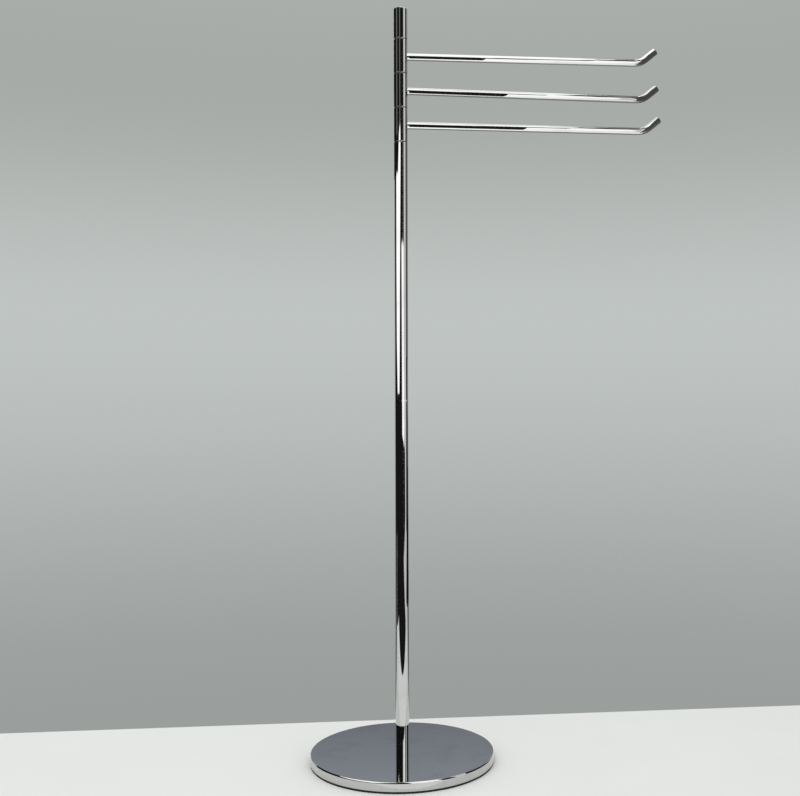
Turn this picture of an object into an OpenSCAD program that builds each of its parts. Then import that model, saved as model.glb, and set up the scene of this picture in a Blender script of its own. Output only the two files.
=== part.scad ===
// Free-standing towel and clothes stand: a round plated base plate, a slim post and, at the top of
// the post, three short sleeves that turn on one spindle. Each sleeve carries one rod arm whose free
// end is bent upwards. All sizes are in millimetres. The origin is on the floor, on the post's axis,
// +Z is up, and an arm reaches along +X when its heading is 0.

/* [Base] */
// Diameter of the base plate
base_d = 240; // [180:1:320]
// Thickness of the base plate
base_t = 11.5; // [10:0.5:20]
// Radius of the base plate's rounded top rim
base_edge_r = 1.5; // [0.5:0.5:4]
// Thickness of the non-slip pad under the base plate
pad_t = 2.5; // [1:0.5:4]
// Distance that the pad's rim is set in from the base plate's rim
pad_inset = 0.5; // [0.5:0.5:20]

/* [Post] */
// Outside diameter of the post, the sleeves and the cap
post_d = 18; // [17:0.5:26]
// Wall thickness of the post tube and of the cap
post_wall = 1.5; // [1:0.1:1.8]
// Length of the post tube
post_len = 797; // [500:1:1100]

/* [Sleeves] */
// Length of each turning sleeve
sleeve_len = 44; // [36:1:80]
// Wall thickness of each sleeve
sleeve_wall = 3; // [2:0.25:3.5]
// Length of each bush pressed into a sleeve's end
bush_len = 10; // [6:1:14]
// Thickness of each friction washer, which is the width of the groove between two sleeves
friction_washer_t = 1; // [0.6:0.1:2]
// Depth of the groove between two sleeves
groove_depth = 1; // [0.4:0.1:1.4]

/* [Spindle] */
// Diameter of the spindle that the sleeves turn on
spindle_d = 8; // [7:0.5:8.5]
// Diameter of the threaded upper end of the spindle
spindle_thread_d = 6; // [5:0.5:6.5]
// Depth that the spindle is screwed into the plug at the top of the post
spindle_grip = 25; // [15:1:40]
// Depth that the spindle is screwed into the insert in the cap
cap_grip = 10; // [6:1:14]
// Radial clearance between the spindle and the bushes
running_gap = 0.05; // [0.02:0.01:0.1]

/* [Arms] */
// Diameter of the arm rods
arm_d = 9.5; // [8:0.5:12]
// Distance from the post's axis to where the lower arm starts to bend
lower_arm_span = 318; // [200:0.5:420]
// Distance from the post's axis to where the middle arm starts to bend
middle_arm_span = 318; // [200:0.5:420]
// Distance from the post's axis to where the top arm starts to bend
top_arm_span = 311.5; // [200:0.5:420]
// Radius of the bend, at the middle of the rod
bend_r = 27; // [12:1:45]
// Angle through which the free end is bent up
bend_angle = 39; // [20:1:50]
// Length of the straight tip beyond the bend
tip_len = 17; // [8:0.5:24]
// Radius of the rounded rim at the arm's tip
tip_edge_r = 1; // [0.2:0.1:2]
// Diameter of the spigot that holds the arm in its sleeve
spigot_d = 7; // [5:0.5:7.5]

/* [Cap] */
// Height of the fixed cap
cap_h = 40; // [36:1:70]
// Thickness of the cap's closed top
cap_roof = 3; // [1.5:0.5:5]
// Radius of the cap's rounded top rim
cap_edge_r = 0.6; // [0.2:0.1:1]

/* [Rest position] */
// Heading of the lower arm, anticlockwise from +X as seen from above
lower_heading = 0; // [-180:1:180]
// Heading of the middle arm
middle_heading = 1.5; // [-180:0.5:180]
// Heading of the top arm
top_heading = -1; // [-180:1:180]

/* [Fasteners] */
// Diameter of the bolt that holds the post to the base plate
bolt_d = 8; // [6:0.5:9]
// Diameter of the bolt's low head
bolt_head_d = 13; // [12:0.5:14]
// Height of the bolt's low head
bolt_head_h = 4.5; // [3:0.5:5]
// Width across the flats of the hexagon socket in the bolt's head
socket_flats = 5; // [4:0.5:6]
// Depth of the hexagon socket
socket_depth = 2.2; // [1:0.2:2.6]
// Depth that the bolt is screwed into the plug in the post's foot
bolt_grip = 18; // [10:1:30]
// Diameter of the plain washer on the bolt
plain_washer_d = 16; // [14:0.5:20]
// Thickness of the plain washer on the bolt
plain_washer_t = 1.6; // [1:0.1:2]
// Diameter of the split spring washer on the bolt
spring_washer_d = 14; // [12:0.5:16]
// Thickness of the split spring washer on the bolt
spring_washer_t = 2; // [1:0.1:2]
// Diameter of the two washers under the lock nut
nut_washer_d = 13; // [12:0.1:13.4]
// Thickness of the plain washer under the lock nut
nut_washer_t = 1.6; // [1:0.1:2]
// Thickness of the wave washer that presses the sleeves together
wave_washer_t = 1.2; // [0.6:0.1:2]
// Height of the lock nut
nut_h = 6; // [4:0.5:7]
// Width of the lock nut across its flats
nut_flats = 10; // [9:0.5:10.5]

/* [Hidden] */
$fn = 96;

chamfer = 0.3;        // on the ends of the tube, the sleeves and the cap
shank_gap = 0.15;     // radial clearance between a shank and what it passes through freely
recess_gap = 1;       // clearance round the bolt's washers, and above the pad under its head
washer_split = 1.2;   // width of the slit in the spring washer
hole_spare = 2;       // how much deeper a blind threaded hole is than the screw in it
plug_floor = 5;       // solid metal beyond the blind hole of a plug or an insert
meet_gap = 0.3;       // how far a bend and its tip each stop short of the point where they meet
meet_swell = 0.05;    // how much thicker an arm is at that point, all round
eps = 0.5;            // how far a cutting tool runs past the face that it cuts

tube_bore = post_d - 2 * post_wall;
sleeve_bore = post_d - 2 * sleeve_wall;
running_bore = spindle_d + 2 * running_gap;
insert_len = cap_grip + hole_spare + plug_floor;

// Heights from the floor up: the base plate, the bolt in its recess and the post
base_top = pad_t + base_t;
head_z = pad_t + recess_gap;
spring_washer_z = head_z + bolt_head_h;
plain_washer_z = spring_washer_z + spring_washer_t;
recess_top = plain_washer_z + plain_washer_t;
post_top = base_top + post_len;

// Heights of the sleeves, one friction washer apart, and of the cap and what it hides
sleeve_pitch = sleeve_len + friction_washer_t;
lower_z = post_top + friction_washer_t;
middle_z = lower_z + sleeve_pitch;
top_z = middle_z + sleeve_pitch;
cap_z = top_z + sleeve_pitch;
shoulder_z = cap_z + wave_washer_t;
nut_z = shoulder_z + nut_washer_t;
insert_z = cap_z + cap_h - cap_roof - insert_len;

// A cylinder with a rounded top rim
module rounded_disc(d, h, edge_r) {
  rotate_extrude() {
    square([d / 2, h - edge_r]);
    square([d / 2 - edge_r, h]);
    intersection() {
      translate([d / 2 - edge_r, h - edge_r]) circle(r = edge_r);
      square([d / 2, h]);
    }
  }
}

// A cylinder whose chosen ends have small chamfers
module turned_bar(d, h, bottom = true, top = true) {
  low = bottom ? chamfer : 0;
  high = top ? chamfer : 0;
  rotate_extrude() polygon([
    [0, 0], [d / 2 - low, 0], [d / 2, low], [d / 2, h - high], [d / 2 - high, h], [0, h],
  ]);
}

// A flat ring
module ring(d, bore, h) {
  difference() {
    cylinder(d = d, h = h);
    translate([0, 0, -eps]) cylinder(d = bore, h = h + 2 * eps);
  }
}

// Solid steel plate, recessed underneath for the bolt
module base_plate() {
  color("silver") difference() {
    translate([0, 0, pad_t]) rounded_disc(base_d, base_t, base_edge_r);
    translate([0, 0, pad_t - eps])
      cylinder(d = plain_washer_d + 2 * recess_gap, h = recess_top - pad_t + eps);
    cylinder(d = bolt_d + 2 * shank_gap, h = base_top + eps);
  }
}

// Stick-on pad that covers the underside and the bolt's recess
module base_pad() {
  color("dimgray") cylinder(d = base_d - 2 * pad_inset, h = pad_t);
}

// Low-headed bolt with a hexagon socket, pointing up
module base_bolt() {
  color("gray") difference() {
    union() {
      translate([0, 0, head_z]) cylinder(d = bolt_head_d, h = bolt_head_h);
      translate([0, 0, spring_washer_z])
        cylinder(d = bolt_d, h = base_top + bolt_grip - spring_washer_z);
    }
    translate([0, 0, head_z - eps])
      cylinder(d = socket_flats / cos(30), h = socket_depth + eps, $fn = 6);
  }
}

module base_spring_washer() {
  color("gray") translate([0, 0, spring_washer_z]) difference() {
    ring(spring_washer_d, bolt_d + 2 * shank_gap, spring_washer_t);
    translate([0, -washer_split / 2, -eps])
      cube([spring_washer_d, washer_split, spring_washer_t + 2 * eps]);
  }
}

module base_plain_washer() {
  color("gray") translate([0, 0, plain_washer_z])
    ring(plain_washer_d, bolt_d + 2 * shank_gap, plain_washer_t);
}

module post_tube() {
  color("silver") translate([0, 0, base_top]) difference() {
    turned_bar(post_d, post_len, bottom = false);
    translate([0, 0, -eps]) cylinder(d = tube_bore, h = post_len + 2 * eps);
  }
}

// Plug pressed into the foot of the tube, with a blind threaded hole from below for the bolt
module foot_plug() {
  hole = bolt_grip + hole_spare;
  color("gray") translate([0, 0, base_top]) difference() {
    cylinder(d = tube_bore, h = hole + plug_floor);
    translate([0, 0, -eps]) cylinder(d = bolt_d, h = hole + eps);
  }
}

// Plug pressed into the head of the tube, with a blind threaded hole from above for the spindle
module top_plug() {
  color("gray") translate([0, 0, post_top - spindle_grip - plug_floor]) difference() {
    cylinder(d = tube_bore, h = spindle_grip + plug_floor);
    translate([0, 0, plug_floor]) cylinder(d = spindle_d, h = spindle_grip + eps);
  }
}

// Spindle: a plain shank through the three sleeves, then a shoulder and a thread
module spindle() {
  color("gray") {
    translate([0, 0, post_top - spindle_grip])
      cylinder(d = spindle_d, h = shoulder_z - post_top + spindle_grip);
    translate([0, 0, shoulder_z])
      cylinder(d = spindle_thread_d, h = insert_z + cap_grip - shoulder_z);
  }
}

// Friction washer that stands on height z; its rim is the dark floor of the groove there
module friction_washer(z) {
  color("black") translate([0, 0, z])
    ring(post_d - 2 * groove_depth, running_bore, friction_washer_t);
}

module wave_washer() {
  color("gray") translate([0, 0, cap_z])
    ring(nut_washer_d, spindle_d + 2 * shank_gap, wave_washer_t);
}

module nut_washer() {
  color("gray") translate([0, 0, shoulder_z])
    ring(nut_washer_d, spindle_thread_d + 2 * shank_gap, nut_washer_t);
}

module lock_nut() {
  color("gray") translate([0, 0, nut_z]) difference() {
    cylinder(d = nut_flats / cos(30), h = nut_h, $fn = 6);
    translate([0, 0, -eps]) cylinder(d = spindle_thread_d, h = nut_h + 2 * eps);
  }
}

// Insert pressed up to the roof of the cap, which screws down on the spindle
module cap_insert() {
  color("gray") translate([0, 0, insert_z]) difference() {
    cylinder(d = tube_bore, h = insert_len);
    translate([0, 0, -eps]) cylinder(d = spindle_thread_d, h = cap_grip + hole_spare + eps);
  }
}

module top_cap() {
  color("silver") translate([0, 0, cap_z]) difference() {
    intersection() {
      rounded_disc(post_d, cap_h, cap_edge_r);
      turned_bar(post_d, cap_h, top = false);
    }
    translate([0, 0, -eps]) cylinder(d = tube_bore, h = cap_h - cap_roof + eps);
  }
}

// Turning sleeve that stands on height z, with a cross hole for the arm's spigot
module sleeve(z, heading) {
  color("silver") translate([0, 0, z]) rotate([0, 0, heading]) difference() {
    turned_bar(post_d, sleeve_len);
    translate([0, 0, -eps]) cylinder(d = sleeve_bore, h = sleeve_len + 2 * eps);
    translate([0, 0, sleeve_len / 2]) rotate([0, 90, 0]) cylinder(d = spigot_d, h = post_d);
  }
}

// Plain bushes in the bottom and the top end of the sleeve that stands on height z
module bottom_bush(z) {
  color("ivory") translate([0, 0, z]) ring(sleeve_bore, running_bore, bush_len);
}

module top_bush(z) {
  bottom_bush(z + sleeve_len - bush_len);
}

// Free end of an arm, from where the rod stops being straight: a bend upwards, then a short tip.
// The ball where they meet fills the small gap left between them.
module bent_end() {
  translate([0, 0, bend_r]) {
    rotate([90, 0, 0]) rotate([0, 0, -90])
      rotate_extrude(angle = bend_angle - meet_gap / bend_r * 180 / PI)
        translate([bend_r, 0]) circle(d = arm_d);
    rotate([0, -bend_angle, 0]) translate([0, 0, -bend_r]) {
      sphere(d = arm_d + 2 * meet_swell);
      rotate([0, 90, 0]) translate([0, 0, meet_gap])
        rounded_disc(arm_d, tip_len - meet_gap, tip_edge_r);
    }
  }
}

// Rod arm of the sleeve that stands on height z. Its root is cut to sit on the sleeve, and its
// spigot ends level with the sleeve's bore.
module arm(z, heading, span) {
  color("silver") rotate([0, 0, heading]) translate([0, 0, z + sleeve_len / 2]) {
    difference() {
      rotate([0, 90, 0]) cylinder(d = arm_d, h = span);
      cylinder(d = post_d, h = 2 * arm_d, center = true);
    }
    translate([span, 0, 0]) bent_end();
    difference() {
      rotate([0, 90, 0]) cylinder(d = spigot_d, h = post_d / 2 + eps);
      cylinder(d = sleeve_bore, h = 2 * arm_d, center = true);
    }
  }
}

base_plate();
base_pad();
base_bolt();
base_spring_washer();
base_plain_washer();
post_tube();
foot_plug();
top_plug();
spindle();
friction_washer(post_top);  // friction_washer_1
friction_washer(lower_z + sleeve_len);  // friction_washer_2
friction_washer(middle_z + sleeve_len);  // friction_washer_3
friction_washer(top_z + sleeve_len);  // friction_washer_4
wave_washer();
nut_washer();
lock_nut();
cap_insert();
top_cap();
sleeve(lower_z, lower_heading);  // lower_sleeve
bottom_bush(lower_z);  // lower_sleeve_bottom_bush
top_bush(lower_z);  // lower_sleeve_top_bush
arm(lower_z, lower_heading, lower_arm_span);  // lower_arm
sleeve(middle_z, middle_heading);  // middle_sleeve
bottom_bush(middle_z);  // middle_sleeve_bottom_bush
top_bush(middle_z);  // middle_sleeve_top_bush
arm(middle_z, middle_heading, middle_arm_span);  // middle_arm
sleeve(top_z, top_heading);  // top_sleeve
bottom_bush(top_z);  // top_sleeve_bottom_bush
top_bush(top_z);  // top_sleeve_top_bush
arm(top_z, top_heading, top_arm_span);  // top_arm
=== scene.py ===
import math

import bmesh
import bpy
from mathutils import Matrix, Vector


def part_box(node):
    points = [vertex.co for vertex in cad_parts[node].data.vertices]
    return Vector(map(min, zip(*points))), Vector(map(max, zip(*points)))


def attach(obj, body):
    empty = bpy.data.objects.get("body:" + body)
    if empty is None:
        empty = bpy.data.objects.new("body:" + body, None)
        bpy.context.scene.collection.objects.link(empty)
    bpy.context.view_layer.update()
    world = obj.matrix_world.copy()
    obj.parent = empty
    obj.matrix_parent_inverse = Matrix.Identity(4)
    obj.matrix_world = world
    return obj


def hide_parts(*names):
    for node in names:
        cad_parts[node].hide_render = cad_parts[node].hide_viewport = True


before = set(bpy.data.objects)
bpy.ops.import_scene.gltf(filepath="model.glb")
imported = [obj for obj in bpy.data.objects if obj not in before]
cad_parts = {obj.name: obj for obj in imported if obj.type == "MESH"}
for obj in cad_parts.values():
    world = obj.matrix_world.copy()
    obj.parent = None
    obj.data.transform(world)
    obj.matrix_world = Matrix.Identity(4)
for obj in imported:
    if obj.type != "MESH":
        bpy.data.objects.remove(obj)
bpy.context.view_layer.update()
mm = 0.001


def linearColour(code):
    # sRGB hex such as "#C8CBD0" to linear RGBA
    channels = [int(code[i:i + 2], 16) / 255 for i in (1, 3, 5)]
    return [c / 12.92 if c <= 0.04045 else ((c + 0.055) / 1.055) ** 2.4 for c in channels] + [1.0]


def addNode(tree, kind, values=None, links=None, **settings):
    # a node with its settings, its unlinked values and the sockets that feed it
    node = tree.nodes.new(kind)
    for key, value in settings.items():
        setattr(node, key, value)
    for name, value in (values or {}).items():
        node.inputs[name].default_value = value
    for name, socket in (links or {}).items():
        tree.links.new(socket, node.inputs[name])
    return node


viewpoint = {
    "sensor": 36,        # mm
    "lens": 47.784,      # mm
    "clip": (0.01, 50),  # metres
    "azimuth": -2.937,   # degrees round the post, 0 is straight in front
    "distance": 1.3972,  # metres from the post's axis
    "height": 0.4721,    # metres
    "tilt": 0.142,       # degrees, upwards
    "pan": -3.307,       # degrees off the post's axis, to the right where negative
    "roll": -0.158,      # degrees
    "shift": -0.0786,    # of the frame's width, as the view is cropped more on the right
}


def buildCamera(v):
    data = bpy.data.cameras.new("standCamera")
    data.sensor_width = v["sensor"]
    data.lens = v["lens"]
    data.shift_x = v["shift"]
    data.clip_start, data.clip_end = v["clip"]
    camera = bpy.data.objects.new("standCamera", data)
    bpy.context.scene.collection.objects.link(camera)
    turn = math.radians(v["azimuth"])
    place = Vector((math.sin(turn), -math.cos(turn), 0)) * v["distance"]
    place.z = v["height"]
    camera.matrix_world = (
        Matrix.Translation(place)
        @ Matrix.Rotation(math.radians(v["azimuth"] + v["pan"]), 4, "Z")
        @ Matrix.Rotation(math.radians(90 + v["tilt"]), 4, "X")
        @ Matrix.Rotation(math.radians(v["roll"]), 4, "Z")
    )
    bpy.context.scene.camera = camera


buildCamera(viewpoint)
bpy.context.scene.view_settings.view_transform = "Standard"
print("camera placed")

noiseSpan = (0.3, 0.7)  # nearly all values of a noise lie between these


def noiseScale(size):
    # for features that are this many mm apart
    return 1000 / size


def newMaterial(name):
    material = bpy.data.materials.new(name)
    material.use_nodes = True
    material.node_tree.nodes.clear()
    return material, material.node_tree


def finishMaterial(tree, shader):
    addNode(tree, "ShaderNodeOutputMaterial", links={"Surface": shader.outputs[0]})


# Bright chromium over nickel, as on tube and bar: a slightly cool mirror. The last polish leaves
# fine lines along the bar, about 0.5 mm apart, and handling leaves faint greasy patches.
chromeFinish = {
    "colour": "#CACBC9",
    "smudgedColour": "#C0C1BE",
    "roughness": (0.030, 0.062),  # clean, smudged
    "smudgeSize": 38,             # mm between patches
    "smudgeEdge": (0.48, 0.74),   # values of the noise where a patch begins and is whole
    "grainSize": 0.55,            # mm between polishing lines
    "grainDepth": 0.00006,        # mm
    "grainRoughness": 0.004,      # gained or lost from line to line
    "waveSize": 60,               # mm, the slow waviness of a drawn tube
    "waveDepth": 0.006,           # mm
}
lineStretch = 0.07  # share of the grain's scale that is left along the lines


def polishedChrome(name, f, along):
    material, tree = newMaterial(name)
    place = addNode(tree, "ShaderNodeTexCoord")
    smudge = addNode(tree, "ShaderNodeTexNoise",
                     {"Scale": noiseScale(f["smudgeSize"]), "Detail": 4.0, "Roughness": 0.6},
                     {"Vector": place.outputs["Object"]})
    patch = addNode(tree, "ShaderNodeMapRange",
                    {"From Min": f["smudgeEdge"][0], "From Max": f["smudgeEdge"][1],
                     "To Min": 0.0, "To Max": 1.0},
                    {"Value": smudge.outputs["Fac"]}, interpolation_type="SMOOTHSTEP")
    stretch = addNode(tree, "ShaderNodeMapping", {"Scale": along},
                      {"Vector": place.outputs["Object"]})
    grain = addNode(tree, "ShaderNodeTexNoise",
                    {"Scale": noiseScale(f["grainSize"]), "Detail": 2.0},
                    {"Vector": stretch.outputs["Vector"]})
    wave = addNode(tree, "ShaderNodeTexNoise",
                   {"Scale": noiseScale(f["waveSize"]), "Detail": 1.0},
                   {"Vector": place.outputs["Object"]})
    speck = addNode(tree, "ShaderNodeMapRange",
                    {"From Min": noiseSpan[0], "From Max": noiseSpan[1],
                     "To Min": -f["grainRoughness"], "To Max": f["grainRoughness"]},
                    {"Value": grain.outputs["Fac"]})
    rough = addNode(tree, "ShaderNodeMapRange",
                    {"From Min": 0.0, "From Max": 1.0,
                     "To Min": f["roughness"][0], "To Max": f["roughness"][1]},
                    {"Value": patch.outputs["Result"]})
    roughness = addNode(tree, "ShaderNodeMath", None, None, operation="ADD")
    tree.links.new(rough.outputs["Result"], roughness.inputs[0])
    tree.links.new(speck.outputs["Result"], roughness.inputs[1])
    colour = addNode(tree, "ShaderNodeMix", None, {"Factor": patch.outputs["Result"]},
                     data_type="RGBA")
    colour.inputs["A"].default_value = linearColour(f["colour"])
    colour.inputs["B"].default_value = linearColour(f["smudgedColour"])
    slow = addNode(tree, "ShaderNodeBump", {"Strength": 1.0, "Distance": f["waveDepth"] * mm},
                   {"Height": wave.outputs["Fac"]})
    fine = addNode(tree, "ShaderNodeBump", {"Strength": 1.0, "Distance": f["grainDepth"] * mm},
                   {"Height": grain.outputs["Fac"], "Normal": slow.outputs["Normal"]})
    shader = addNode(tree, "ShaderNodeBsdfPrincipled", {"Metallic": 1.0},
                     {"Base Color": colour.outputs["Result"],
                      "Roughness": roughness.outputs["Value"],
                      "Normal": fine.outputs["Normal"]})
    finishMaterial(tree, shader)
    return material


# Zinc-plated steel of the hidden fasteners: a dull silver with a faint blue passivation cast.
zincFinish = {
    "colour": "#A9ADB3",
    "castColour": "#9DA6B4",
    "roughness": (0.28, 0.42),
    "spangleSize": 3.0,  # mm
    "depth": 0.01,       # mm
}


def zincSteel(name, f):
    material, tree = newMaterial(name)
    place = addNode(tree, "ShaderNodeTexCoord")
    spangle = addNode(tree, "ShaderNodeTexNoise",
                      {"Scale": noiseScale(f["spangleSize"]), "Detail": 3.0},
                      {"Vector": place.outputs["Object"]})
    colour = addNode(tree, "ShaderNodeMix", None, {"Factor": spangle.outputs["Fac"]},
                     data_type="RGBA")
    colour.inputs["A"].default_value = linearColour(f["colour"])
    colour.inputs["B"].default_value = linearColour(f["castColour"])
    rough = addNode(tree, "ShaderNodeMapRange",
                    {"From Min": noiseSpan[0], "From Max": noiseSpan[1],
                     "To Min": f["roughness"][0], "To Max": f["roughness"][1]},
                    {"Value": spangle.outputs["Fac"]})
    bump = addNode(tree, "ShaderNodeBump", {"Strength": 0.5, "Distance": f["depth"] * mm},
                   {"Height": spangle.outputs["Fac"]})
    shader = addNode(tree, "ShaderNodeBsdfPrincipled", {"Metallic": 1.0},
                     {"Base Color": colour.outputs["Result"],
                      "Roughness": rough.outputs["Result"],
                      "Normal": bump.outputs["Normal"]})
    finishMaterial(tree, shader)
    return material


# Machined acetal is milky with a soft sheen, moulded nylon near black and matt, and foam rubber
# duller still, with open pores. Colour pair, roughness pair, size and depth of the grain in mm.
plasticFinishes = {
    "naturalAcetal": {"colours": ("#E9E7DF", "#DEDBD0"), "roughness": (0.34, 0.46),
                      "grain": 0.8, "depth": 0.006},
    "blackNylon": {"colours": ("#17181A", "#222325"), "roughness": (0.42, 0.6),
                   "grain": 0.5, "depth": 0.01},
    "blackFoamRubber": {"colours": ("#0D0D0D", "#151514"), "roughness": (0.75, 0.92),
                        "grain": 0.9, "depth": 0.08},
}
cloudsPerMetre = 120.0  # slow change between a plastic's two colours


def plainPlastic(name, f):
    material, tree = newMaterial(name)
    place = addNode(tree, "ShaderNodeTexCoord")
    grain = addNode(tree, "ShaderNodeTexNoise", {"Scale": noiseScale(f["grain"]), "Detail": 3.0},
                    {"Vector": place.outputs["Object"]})
    cloud = addNode(tree, "ShaderNodeTexNoise", {"Scale": cloudsPerMetre, "Detail": 2.0},
                    {"Vector": place.outputs["Object"]})
    colour = addNode(tree, "ShaderNodeMix", None, {"Factor": cloud.outputs["Fac"]},
                     data_type="RGBA")
    colour.inputs["A"].default_value = linearColour(f["colours"][0])
    colour.inputs["B"].default_value = linearColour(f["colours"][1])
    rough = addNode(tree, "ShaderNodeMapRange",
                    {"From Min": noiseSpan[0], "From Max": noiseSpan[1],
                     "To Min": f["roughness"][0], "To Max": f["roughness"][1]},
                    {"Value": grain.outputs["Fac"]})
    bump = addNode(tree, "ShaderNodeBump", {"Strength": 0.6, "Distance": f["depth"] * mm},
                   {"Height": grain.outputs["Fac"]})
    shader = addNode(tree, "ShaderNodeBsdfPrincipled", None,
                     {"Base Color": colour.outputs["Result"],
                      "Roughness": rough.outputs["Result"],
                      "Normal": bump.outputs["Normal"]})
    finishMaterial(tree, shader)
    return material


# the lines run along the post and along the arms, and the plate's have no direction
chromedTube = polishedChrome("brightChromeTube", chromeFinish, along=(1, 1, lineStretch))
chromedRod = polishedChrome("brightChromeRod", chromeFinish, along=(lineStretch, 1, 1))
chromedPlate = polishedChrome("brightChromePlate", chromeFinish, along=(1, 1, 1))
platedSteel = zincSteel("zincPlatedSteel", zincFinish)
acetal = plainPlastic("naturalAcetal", plasticFinishes["naturalAcetal"])
nylon = plainPlastic("blackNylon", plasticFinishes["blackNylon"])
foamRubber = plainPlastic("blackFoamRubber", plasticFinishes["blackFoamRubber"])
print("materials ready")

meshFinish = {
    "mergeDistance": 0.002 * mm,
    "smoothAngle": 35,  # degrees, past which an edge stays sharp
    "areaWeight": 100,  # how much a large face's normal counts
}
tubeSteps = 160  # faces round a tube


def finishPiece(name, bm, material):
    bmesh.ops.remove_doubles(bm, verts=bm.verts, dist=meshFinish["mergeDistance"])
    bmesh.ops.recalc_face_normals(bm, faces=bm.faces)
    for face in bm.faces:
        face.smooth = True
    for edge in bm.edges:
        if len(edge.link_faces) == 2:
            edge.smooth = edge.calc_face_angle(0) < math.radians(meshFinish["smoothAngle"])
    mesh = bpy.data.meshes.new(name)
    bm.to_mesh(mesh)
    bm.free()
    mesh.materials.append(material)
    piece = bpy.data.objects.new(name, mesh)
    bpy.context.scene.collection.objects.link(piece)
    weighted = piece.modifiers.new("evenNormals", "WEIGHTED_NORMAL")
    weighted.keep_sharp = True
    weighted.weight = meshFinish["areaWeight"]
    return piece


def turned(name, outline, material, steps=tubeSteps, closed=False):
    # an outline of (radius, height) spun round the post's axis
    bm = bmesh.new()
    points = [bmesh.ops.create_vert(bm, co=(r, 0, z))["vert"][0] for r, z in outline]
    for a, b in zip(points, points[1:]):
        bm.edges.new((a, b))
    if closed:
        bm.edges.new((points[-1], points[0]))
    bmesh.ops.spin(bm, geom=bm.verts[:] + bm.edges[:], axis=(0, 0, 1), cent=(0, 0, 0),
                   steps=steps, angle=2 * math.pi, use_merge=True)
    return finishPiece(name, bm, material)


def roundedCorner(r, z, radius, start, end, segments):
    # points of an arc about (r, z), from one angle to another in degrees
    angles = [math.radians(start + (end - start) * i / segments) for i in range(segments + 1)]
    return [(r + radius * math.cos(a), z + radius * math.sin(a)) for a in angles]


def nodeSize(node):
    # radius, underside and top of a round node
    lo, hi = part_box(node)
    return (hi.x - lo.x) / 2, lo.z, hi.z


# The rim is dressed to a steep facet, slightly bulged, under a small rounding.
basePlate = {
    "facetHeight": 1.5 * mm,
    "facetTilts": (20, 31),    # degrees from upright, at its lower and its upper end
    "facetSteps": 6,
    "sideRadius": 0.8 * mm,    # between the side and the facet
    "topRadius": 0.4 * mm,     # between the facet and the flat top
    "topSteps": 8,
    "footRadius": 0.4 * mm,
    "cornerSteps": 4,
    "hole": 4.2 * mm,          # radius, for the bolt
    "midRing": 0.5,            # share of the radius where the flat top has an extra ring
    "steps": 256,
}


def basePlateOutline(radius, low, high, b):
    foot = b["footRadius"]
    points = [(b["hole"], low)]
    points += roundedCorner(radius - foot, low + foot, foot, -90, 0, b["cornerSteps"])
    # up the side, round into the facet, along its slight bulge, round into the flat top
    lean, last = b["facetTilts"]
    bulge = b["facetHeight"] / (math.sin(math.radians(last)) - math.sin(math.radians(lean)))
    side = roundedCorner(0, 0, b["sideRadius"], 0, lean, b["cornerSteps"])
    facet = roundedCorner(0, 0, bulge, lean, last, b["facetSteps"])
    top = roundedCorner(0, 0, b["topRadius"], last, 90, b["topSteps"])
    run = [(0.0, 0.0)]
    for arc in (side, facet, top):
        x0, z0 = run[-1]
        run += [(x0 + x - arc[0][0], z0 + z - arc[0][1]) for x, z in arc[1:]]
    rise = run[-1][1]
    points += [(radius + x, high - rise + z) for x, z in run]
    return points + [(radius * b["midRing"], high), (b["hole"], high)]


radius, low, high = nodeSize("base_plate")
outline = basePlateOutline(radius, low, high, basePlate)
plate = turned("basePlate", outline, chromedPlate, steps=basePlate["steps"], closed=True)
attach(plate, "stand")
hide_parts("base_plate")

basePad = {"edgeRadius": 0.2 * mm, "cornerSteps": 4, "steps": 128}
radius, low, high = nodeSize("base_pad")
edge = basePad["edgeRadius"]
outline = (
    [(0, low)]
    + roundedCorner(radius - edge, low + edge, edge, -90, 0, basePad["cornerSteps"])
    + [(radius, high), (0, high)]
)
pad = turned("footPad", outline, foamRubber, steps=basePad["steps"])
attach(pad, "stand")
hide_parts("base_pad")

postTube = {"wall": 1.5 * mm, "endRadius": 0.3 * mm, "cornerSteps": 5}
radius, low, high = nodeSize("post_tube")
edge = postTube["endRadius"]
inner = radius - postTube["wall"]
outline = (
    [(inner, low), (radius, low)]
    + roundedCorner(radius - edge, high - edge, edge, 0, 90, postTube["cornerSteps"])
    + [(inner, high)]
)
tube = turned("postTube", outline, chromedTube, closed=True)
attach(tube, "stand")
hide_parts("post_tube")

topCap = {
    "bore": 7.5 * mm,  # radius
    "roof": 3 * mm,
    "topRadius": 0.6 * mm,
    "topSteps": 8,
    "bottomRadius": 0.3 * mm,
    "bottomSteps": 5,
}
radius, low, high = nodeSize("top_cap")
foot, rim = topCap["bottomRadius"], topCap["topRadius"]
ceiling = high - topCap["roof"]
outline = (
    [(0, ceiling), (topCap["bore"], ceiling), (topCap["bore"], low)]
    + roundedCorner(radius - foot, low + foot, foot, -90, 0, topCap["bottomSteps"])
    + roundedCorner(radius - rim, high - rim, rim, 0, 90, topCap["topSteps"])
    + [(0, high)]
)
cap = turned("endCap", outline, chromedTube)
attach(cap, "stand")
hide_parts("top_cap")
print("base, post and cap turned")

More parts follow.
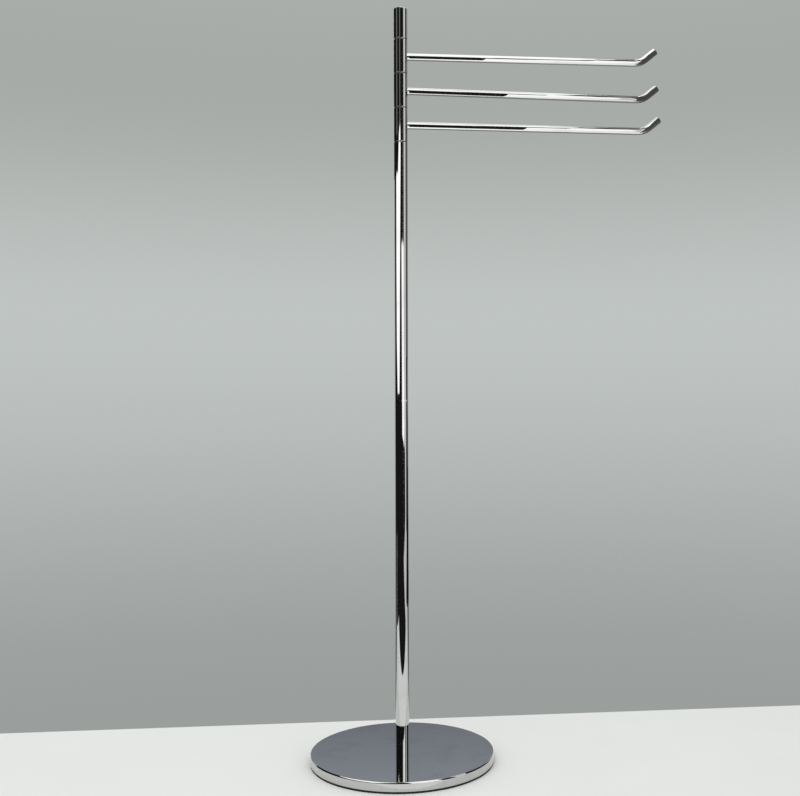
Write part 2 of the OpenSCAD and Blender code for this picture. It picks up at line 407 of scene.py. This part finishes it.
turningSleeve = {"bore": 6 * mm, "endRadius": 0.3 * mm, "cornerSteps": 5}
swivelArm = {
    "radius": 4.75 * mm,
    "facets": 64,             # round the rod
    "headings": {"lower": 0, "middle": 1.5, "top": -1},  # degrees, anticlockwise from above
    "spigot": 6.5 * mm,       # how far from the axis the rod starts, inside the sleeve's wall
    "spans": {"lower": 318 * mm, "middle": 318 * mm, "top": 311.5 * mm},  # axis to the bend
    "rings": (0.35, 0.7, 1),  # shares of the span where the straight part has a ring
    "firstRing": 2 * mm,      # from the sleeve
    "bendRadius": 27 * mm,
    "bendAngle": 39,          # degrees
    "bendSteps": 20,
    "tip": 17 * mm,           # straight length after the bend
    "tipRadius": 1.0 * mm,    # rounding of the free end
    "tipSteps": 6,
    "fillet": 0.7 * mm,       # of the brazing, where the rod meets the sleeve
    # each ring of the fillet: how far out and how much thicker than the rod, in fillets
    "filletRings": ((0.0, 1.0), (0.10, 0.62), (0.25, 0.34), (0.45, 0.14), (0.7, 0.03), (1.0, 0.0)),
    "filletSink": 0.03 * mm,  # how far it goes into the sleeve, so that no gap shows
}


def nextRing(bm, edges):
    # extrudes the open rim and gives the new rim's edges and vertices
    made = bmesh.ops.extrude_edge_only(bm, edges=edges)["geom"]
    rim = [item for item in made if isinstance(item, bmesh.types.BMEdge)]
    return rim, [item for item in made if isinstance(item, bmesh.types.BMVert)]


def buildArm(name, height, heading, span, sleeveRadius, arm):
    bm = bmesh.new()
    r = arm["radius"]
    start = Matrix.Translation((arm["spigot"], 0, 0)) @ Matrix.Rotation(math.radians(90), 4, "Y")
    bmesh.ops.create_circle(bm, cap_ends=False, segments=arm["facets"], radius=r, matrix=start)
    edges = bm.edges[:]
    # the rings of the fillet follow the sleeve's round face, then the rod's own rings are flat
    for outward, extra in arm["filletRings"]:
        edges, ring = nextRing(bm, edges)
        reach = r + extra * arm["fillet"]
        for v in ring:
            angle = math.atan2(v.co.z, v.co.y)
            v.co.y, v.co.z = reach * math.cos(angle), reach * math.sin(angle)
            face = math.sqrt(sleeveRadius ** 2 - v.co.y ** 2)
            v.co.x = face + outward * arm["fillet"] - arm["filletSink"]
    for x in [sleeveRadius + arm["firstRing"]] + [span * share for share in arm["rings"]]:
        edges, ring = nextRing(bm, edges)
        for v in ring:
            v.co.x = x
    lift = math.radians(arm["bendAngle"])
    pivot = Matrix.Translation((span, 0, arm["bendRadius"]))
    stepTurn = pivot @ Matrix.Rotation(-lift / arm["bendSteps"], 4, "Y") @ pivot.inverted()
    for step in range(arm["bendSteps"]):
        edges, ring = nextRing(bm, edges)
        bmesh.ops.transform(bm, matrix=stepTurn, verts=ring)
    ahead = Vector((math.cos(lift), 0, math.sin(lift)))
    e = arm["tipRadius"]
    edges, ring = nextRing(bm, edges)
    bmesh.ops.translate(bm, vec=ahead * (arm["tip"] - e), verts=ring)
    centre = sum((v.co for v in ring), Vector()) / len(ring)
    for step in range(1, arm["tipSteps"] + 1):
        edges, ring = nextRing(bm, edges)
        turn = math.radians(90 * step / arm["tipSteps"])
        lastTurn = math.radians(90 * (step - 1) / arm["tipSteps"])
        shrink = (r - e + e * math.cos(turn)) / (r - e + e * math.cos(lastTurn))
        bmesh.ops.scale(bm, vec=(shrink, shrink, shrink), space=Matrix.Translation(-centre),
                        verts=ring)
        move = ahead * e * (math.sin(turn) - math.sin(lastTurn))
        bmesh.ops.translate(bm, vec=move, verts=ring)
        centre = centre + move
    # both ends are closed, the free one first
    bmesh.ops.contextual_create(bm, geom=edges)
    bmesh.ops.contextual_create(bm, geom=[x for x in bm.edges if x.is_boundary])
    place = Matrix.Translation((0, 0, height)) @ Matrix.Rotation(math.radians(heading), 4, "Z")
    bmesh.ops.transform(bm, matrix=place, verts=bm.verts)
    return finishPiece(name, bm, chromedRod)


for level in ("lower", "middle", "top"):
    body = level + "_swivel"
    radius, low, high = nodeSize(level + "_sleeve")
    radius = round(radius, 5)
    edge, steps = turningSleeve["endRadius"], turningSleeve["cornerSteps"]
    outline = (
        [(turningSleeve["bore"], high), (turningSleeve["bore"], low)]
        + roundedCorner(radius - edge, low + edge, edge, -90, 0, steps)
        + roundedCorner(radius - edge, high - edge, edge, 0, 90, steps)
    )
    sleeve = turned(level + "Sleeve", outline, chromedTube, closed=True)
    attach(sleeve, body)
    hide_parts(level + "_sleeve")
    arm = buildArm(level + "Arm", (low + high) / 2, swivelArm["headings"][level],
                   swivelArm["spans"][level], radius, swivelArm)
    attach(arm, body)
    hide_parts(level + "_arm")
print("sleeves and arms built")

# the nodes that stay as they are in the frame: inside the post, the sleeves, the cap and the base
keptNodes = {
    platedSteel: ("base_bolt", "base_spring_washer", "base_plain_washer", "foot_plug", "top_plug",
                  "spindle", "wave_washer", "nut_washer", "lock_nut", "cap_insert"),
    acetal: tuple(f"{level}_sleeve_{end}_bush"
                  for level in ("lower", "middle", "top") for end in ("bottom", "top")),
    nylon: tuple(f"friction_washer_{i}" for i in (1, 2, 3, 4)),
}
for material, names in keptNodes.items():
    for name in names:
        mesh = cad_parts[name].data
        mesh.materials.clear()
        mesh.materials.append(material)
print("kept nodes finished")

# The stage: a pale floor, a plain backdrop, and cards that only show in the plating.
# the cards are painted reflections: glowing or black sheets that light nothing and cast no shadow
black = 0.012                   # glow of a card that looks black in the plating
eyeHeight = viewpoint["height"]
ceilingHeight = 2.3
blackCeilingHeight = 2.302      # just over the lit cards, which hide it
armCeilingHeight = 1.25
groundHeight = 0.0004
blackGroundHeight = 0.0006
groundTurn = 3.5                # degrees

floorSlab = {
    "front": -1.6,
    "back": 0.182,
    "side": 2.4,
    "thickness": 0.03,
    "edge": 0.002,
    "colours": ("#ECEEEC", "#E7E9E6"),
    "mottlesPerMetre": 6.0,
    "roughness": 0.9,
}
# The upright cards are painted reflections: glowing windows, a panel and the rear wall, dim glows
# for the sleeves, and black or dim flags that paint dark lines on the arms.
# Upright cards round the post. Azimuth 0 is in front of it and 90 on the arms' side. Corners are
# (sideways, height) in metres, anticlockwise from the bottom left as the viewer sees a front card.
uprightCards = {
    "leftWindow": {
        "azimuth": -47.9, "distance": 1.2, "glow": 1.7,
        "corners": ((-0.45, 0.49), (0.20, 0.49), (0.39, 0.625), (0.54, 0.80), (0.975, 1.165),
                    (0.85, 1.23), (0.27, 1.125), (-0.11, 1.02), (-0.55, 1.055), (-0.99, 1.09),
                    (-1.03, 0.867), (-0.88, 0.64))},
    "rightWindow": {
        "azimuth": 22.1, "distance": 1.2, "glow": 1.6,
        "corners": ((-0.28, 0.388), (0.15, 0.372), (0.48, 0.352), (0.48, 0.50), (0.40, 0.62),
                    (0.40, 0.86), (-0.42, 0.86))},
    "rightPanel": {
        "azimuth": 59.5, "distance": 0.62, "glow": 0.85,
        "corners": ((0.0, 0.0), (0.12, 0.0), (0.18, 0.30), (0.22, 0.45), (0.22, 1.3),
                    (-0.18, 1.3), (-0.18, 0.43), (-0.05, 0.37), (-0.02, 0.25))},
    "sleeveLeftGlow": {
        "azimuth": -73.0, "distance": 1.2, "glow": 0.20,
        "corners": ((-0.20, 1.12), (0.20, 1.12), (0.22, 1.7), (-0.22, 1.7))},
    "sleeveFrontGlow": {
        "azimuth": -18.5, "distance": 1.2, "glow": 0.26,
        "corners": ((-0.12, 1.14), (0.12, 1.14), (0.14, 1.7), (-0.14, 1.7))},
    # black cards close in front of each arm, a painted reflection that makes the black line along
    # its first half
    "topArmFlag": {
        "azimuth": -1, "distance": 0.008, "glow": black,
        "corners": ((0.011, 0.9152), (0.108, 0.9152), (0.114, 0.9255), (0.102, 0.9263),
                    (0.011, 0.9263))},
    "middleArmFlag": {
        "azimuth": 1.5, "distance": 0.008, "glow": black,
        "corners": ((0.011, 0.8665), (0.137, 0.8665), (0.143, 0.8797), (0.131, 0.8814),
                    (0.011, 0.8814))},
    "lowerArmFlag": {
        "azimuth": 0, "distance": 0.008, "glow": black,
        "corners": ((0.011, 0.8252), (0.162, 0.8252), (0.168, 0.8348), (0.156, 0.8368),
                    (0.011, 0.8368))},
    # dim cards that paint darker reflections at the arms' bent ends
    "tipFlag": {
        "azimuth": 0, "distance": 0.035, "glow": 0.09,
        "corners": ((0.341, 0.78), (0.50, 0.78), (0.50, 0.965), (0.324, 0.965))},
    "tipShade": {
        "azimuth": 90, "distance": 0.50, "glow": 0.13,
        "corners": ((-0.035, 0.55), (0.40, 0.55), (0.40, 1.0), (-0.035, 1.0))},
    # the painted reflection of the wall behind: cool grey, brighter upwards, which the base's top
    # mirrors
    "rearWall": {
        "azimuth": 180, "distance": 0.19, "glow": (0.25, 0.40), "along": ("Z", 0.02, 0.13),
        "tint": "#E9F0FF",
        "corners": ((-0.22, 0.0), (0.28, 0.0), (0.28, 0.16), (-0.22, 0.16))},
}
# A glowing card, the painted reflection of a window that the arms see in front of them. It stands
# in a plane through the post's axis, so the post sees only its edge. Corners are (distance from
# the axis, height).
armWindow = {
    "azimuth": 24.0, "glow": 1.6,
    "corners": ((0.25, 0.50), (3.5, -1.2), (3.5, 5.0), (1.9, 4.0), (1.71, 3.2), (1.41, 1.9),
                (1.056, 1.20), (0.808, 1.08), (0.657, 1.03), (0.55, 0.95), (0.25, 0.92)),
}
# Level cards, painted reflections of ceiling lights, a dark ceiling, light bounced under the arms,
# and bright and dark ground: "y" is front and back, "x" left and right, turned round the post's
# axis. Those at the viewer's height are edge-on where the post reflects them.
levelCards = {
    "ceilingLight": {"y": (-0.3, 0.35), "x": (0.0, 0.60), "height": ceilingHeight, "glow": 1.7},
    "ceilingBackLeft": {"y": (0.55, 4.4), "x": (-0.86, -0.63), "height": ceilingHeight,
                        "glow": 1.7, "turn": -8.9},
    "ceilingBackRight": {"y": (0.35, 4.4), "x": (0.47, 0.74), "height": ceilingHeight,
                         "glow": 1.8, "turn": 8.9},
    "ceilingDark": {"y": (0.35, 4.8), "x": (-2.5, 1.05), "height": blackCeilingHeight,
                    "glow": black},
    "ceilingDarkFront": {"y": (-3.9, -0.3), "x": (0.0, 2.4), "height": blackCeilingHeight,
                         "glow": black},
    "ceilingGrey": {"y": (-0.3, 0.35), "x": (0.60, 3.0), "height": ceilingHeight, "glow": 0.62},
    "armGlow": {"y": (-0.68, 0.45), "x": (-0.05, 0.19), "height": armCeilingHeight, "glow": 1.7},
    "armEndGlow": {"y": (-0.52, 0.45), "x": (0.19, 0.33), "height": armCeilingHeight,
                   "glow": 1.7},
    "armBounce": {"y": (-0.70, 0.04), "x": (0.0, 0.55), "height": eyeHeight, "glow": (1.7, 1.3),
                  "along": ("X", 0.12, 0.34)},
    "armShade": {"y": (0.04, 0.30), "x": (0.0, 0.55), "height": eyeHeight, "glow": 0.20},
    "darkFrontGround": {"y": (-3.6, -0.45), "x": (-3.4, 0.75), "height": blackGroundHeight,
                        "glow": black, "turn": groundTurn},
    "darkLeftGround": {"y": (-0.45, 0.18), "x": (-3.4, -0.85), "height": blackGroundHeight,
                       "glow": black, "turn": groundTurn},
    "darkRightGround": {"y": (-0.45, 0.18), "x": (1.05, 3.4), "height": blackGroundHeight,
                        "glow": black, "turn": groundTurn},
    "brightGround": {"y": (-0.45, -0.135), "x": (-0.85, 0.75), "height": groundHeight,
                     "glow": 0.95, "turn": groundTurn},
}
# Bands of a dark drum, the painted reflection of the dark room, from the floor up: heights in
# metres, and the degrees between which each goes round from the left to the right.
darkCurtain = {
    "radius": 3.8,
    "glow": black,
    "steps": 72,
    "bands": (
        {"heights": (-1.8, -0.7), "round": (-128, 152)},
        {"heights": (-0.7, -0.35), "round": (-128, 146)},
        {"heights": (-0.35, -0.1), "round": (-128, 139)},
        {"heights": (-0.1, 0.15), "round": (-128, 131)},
        {"heights": (0.15, 0.4), "round": (-128, 124)},
        {"heights": (0.4, 0.9), "round": (-128, 118)},
        {"heights": (0.9, 1.55), "round": (-128, 112)},
        {"heights": (1.55, 4.6), "round": (-158, 110)},
    ),
}
# the backdrop's colours paint the light falling on the wall: lightest a little above eye level,
# darker below and above it
backdrop = {
    "reach": 0.5,        # how far the colours run below and above eye level, as a slope
    "floor": "#9FA3A1",  # at the lower end
    "top": "#B4B7B4",    # at the upper end
    "between": ((0.22, "#9A9E9C"), (0.58, "#BFC4C2"), (0.78, "#A7ABA8")),
    "roomLight": 0.80,   # what the world adds to the light on the object
}
softbox = {"size": 1.6, "place": (-0.5, -0.7, 2.2), "aim": (0, 0, 0.2), "power": 11.0}


def stageMesh(name, bm, material):
    mesh = bpy.data.meshes.new(name)
    bm.to_mesh(mesh)
    bm.free()
    mesh.materials.append(material)
    thing = bpy.data.objects.new(name, mesh)
    bpy.context.scene.collection.objects.link(thing)
    return thing


def reflectionCard(name, bm, glow, tint="#FFFFFF", along=None):
    # a painted reflection: it glows or stays black only where the plating mirrors it
    material, tree = newMaterial(name + "Glow")
    shader = addNode(tree, "ShaderNodeEmission", {"Color": linearColour(tint)})
    if along:
        # the glow changes along one axis of the stage, between two places in metres
        axis, begin, end = along
        place = addNode(tree, "ShaderNodeTexCoord")
        split = addNode(tree, "ShaderNodeSeparateXYZ", None, {"Vector": place.outputs["Object"]})
        fade = addNode(tree, "ShaderNodeMapRange",
                       {"From Min": begin, "From Max": end, "To Min": glow[0], "To Max": glow[1]},
                       {"Value": split.outputs[axis]})
        tree.links.new(fade.outputs["Result"], shader.inputs["Strength"])
    else:
        shader.inputs["Strength"].default_value = glow
    finishMaterial(tree, shader)
    card = stageMesh(name, bm, material)
    card.visible_camera = False
    card.visible_diffuse = False
    card.visible_shadow = False
    card.visible_transmission = False


def buildFloor(f):
    material, tree = newMaterial("matteLacqueredBoard")
    place = addNode(tree, "ShaderNodeTexCoord")
    mottle = addNode(tree, "ShaderNodeTexNoise", {"Scale": f["mottlesPerMetre"], "Detail": 3.0},
                     {"Vector": place.outputs["Object"]})
    colour = addNode(tree, "ShaderNodeMix", None, {"Factor": mottle.outputs["Fac"]},
                     data_type="RGBA")
    colour.inputs["A"].default_value = linearColour(f["colours"][0])
    colour.inputs["B"].default_value = linearColour(f["colours"][1])
    shader = addNode(tree, "ShaderNodeBsdfPrincipled",
                     {"Roughness": f["roughness"], "Specular IOR Level": 0.0},
                     {"Base Color": colour.outputs["Result"]})
    finishMaterial(tree, shader)
    bm = bmesh.new()
    middle = Matrix.Translation((0, (f["front"] + f["back"]) / 2, -f["thickness"] / 2))
    size = Matrix.Diagonal((2 * f["side"], f["back"] - f["front"], f["thickness"], 1))
    bmesh.ops.create_cube(bm, size=1, matrix=middle @ size)
    bmesh.ops.bevel(bm, geom=bm.edges[:], offset=f["edge"], segments=3, profile=0.5,
                    affect="EDGES", material=-1)
    stageMesh("floor", bm, material)


def fillOutline(bm, points):
    # edges first, since faces made from loose points lose the order of a hollow outline
    corners = [bmesh.ops.create_vert(bm, co=point)["vert"][0] for point in points]
    edges = [bmesh.ops.contextual_create(bm, geom=pair)["edges"][0]
             for pair in zip(corners, corners[1:] + corners[:1])]
    bmesh.ops.triangle_fill(bm, edges=edges, use_beauty=True)


def turnRound(bm, degrees):
    # round the post's axis
    turn = Matrix.Rotation(math.radians(degrees), 4, "Z")
    bmesh.ops.transform(bm, matrix=turn, verts=bm.verts)


def buildUprightCard(name, c):
    bm = bmesh.new()
    fillOutline(bm, [(x, -c["distance"], z) for x, z in c["corners"]])
    turnRound(bm, c["azimuth"])
    reflectionCard(name, bm, c["glow"], c.get("tint", "#FFFFFF"), c.get("along"))


def buildArmWindow(c):
    bm = bmesh.new()
    fillOutline(bm, [(0, -y, z) for y, z in c["corners"]])
    turnRound(bm, c["azimuth"])
    reflectionCard("armWindow", bm, c["glow"])


def buildLevelCard(name, c):
    bm = bmesh.new()
    (left, right), (front, back) = c["x"], c["y"]
    middle = Matrix.Translation(((left + right) / 2, (front + back) / 2, c["height"]))
    size = Matrix.Diagonal(((right - left) / 2, (back - front) / 2, 1, 1))
    bmesh.ops.create_grid(bm, x_segments=1, y_segments=1, size=1, matrix=middle @ size)
    turnRound(bm, c.get("turn", 0))
    reflectionCard(name, bm, c["glow"], along=c.get("along"))


def buildDarkCurtain(d):
    # round the front and the sides, open behind the stand
    bm = bmesh.new()
    for band in d["bands"]:
        begin, end = (math.radians(angle) for angle in band["round"])
        x, y = math.sin(begin) * d["radius"], -math.cos(begin) * d["radius"]
        ends = [bmesh.ops.create_vert(bm, co=(x, y, z))["vert"][0] for z in band["heights"]]
        edge = bmesh.ops.contextual_create(bm, geom=ends)["edges"]
        bmesh.ops.spin(bm, geom=ends + edge, axis=(0, 0, 1), cent=(0, 0, 0), steps=d["steps"],
                       angle=end - begin, use_merge=False)
    reflectionCard("darkCurtain", bm, d["glow"])


def buildWorld(b):
    world = bpy.data.worlds.new("studioWorld")
    bpy.context.scene.world = world
    world.use_nodes = True
    tree = world.node_tree
    tree.nodes.clear()
    place = addNode(tree, "ShaderNodeTexCoord")
    split = addNode(tree, "ShaderNodeSeparateXYZ", None, {"Vector": place.outputs["Generated"]})
    rise = addNode(tree, "ShaderNodeMapRange",
                   {"From Min": -b["reach"], "From Max": b["reach"], "To Min": 0.0, "To Max": 1.0},
                   {"Value": split.outputs["Z"]})
    ramp = addNode(tree, "ShaderNodeValToRGB", None, {"Fac": rise.outputs["Result"]})
    stops = ramp.color_ramp.elements
    stops[0].position, stops[0].color = 0.0, linearColour(b["floor"])
    stops[1].position, stops[1].color = 1.0, linearColour(b["top"])
    for position, code in b["between"]:
        stop = stops.new(position)
        stop.color = linearColour(code)
    ramp.color_ramp.interpolation = "EASE"
    # the camera and the plating see the backdrop, everything else an even light
    shown = addNode(tree, "ShaderNodeBackground", {"Strength": 1.0},
                    {"Color": ramp.outputs["Color"]})
    light = addNode(tree, "ShaderNodeBackground",
                    {"Color": (1, 1, 1, 1), "Strength": b["roomLight"]})
    path = addNode(tree, "ShaderNodeLightPath")
    either = addNode(tree, "ShaderNodeMath", None, None, operation="ADD", use_clamp=True)
    tree.links.new(path.outputs["Is Camera Ray"], either.inputs[0])
    tree.links.new(path.outputs["Is Glossy Ray"], either.inputs[1])
    mix = addNode(tree, "ShaderNodeMixShader", None, {"Fac": either.outputs["Value"]})
    tree.links.new(light.outputs["Background"], mix.inputs[1])
    tree.links.new(shown.outputs["Background"], mix.inputs[2])
    addNode(tree, "ShaderNodeOutputWorld", links={"Surface": mix.outputs["Shader"]})


def buildSoftbox(s):
    data = bpy.data.lights.new("overheadSoftbox", "AREA")
    data.shape = "SQUARE"
    data.size = s["size"]
    data.energy = s["power"]
    light = bpy.data.objects.new("overheadSoftbox", data)
    bpy.context.scene.collection.objects.link(light)
    light.location = s["place"]
    light.rotation_mode = "QUATERNION"
    view = Vector(s["aim"]) - Vector(s["place"])
    light.rotation_quaternion = view.to_track_quat("-Z", "Y")
    light.visible_camera = False
    light.visible_glossy = False


buildFloor(floorSlab)
for name, card in uprightCards.items():
    buildUprightCard(name, card)
buildArmWindow(armWindow)
for name, card in levelCards.items():
    buildLevelCard(name, card)
buildDarkCurtain(darkCurtain)
buildWorld(backdrop)
buildSoftbox(softbox)
print("stage and light set")
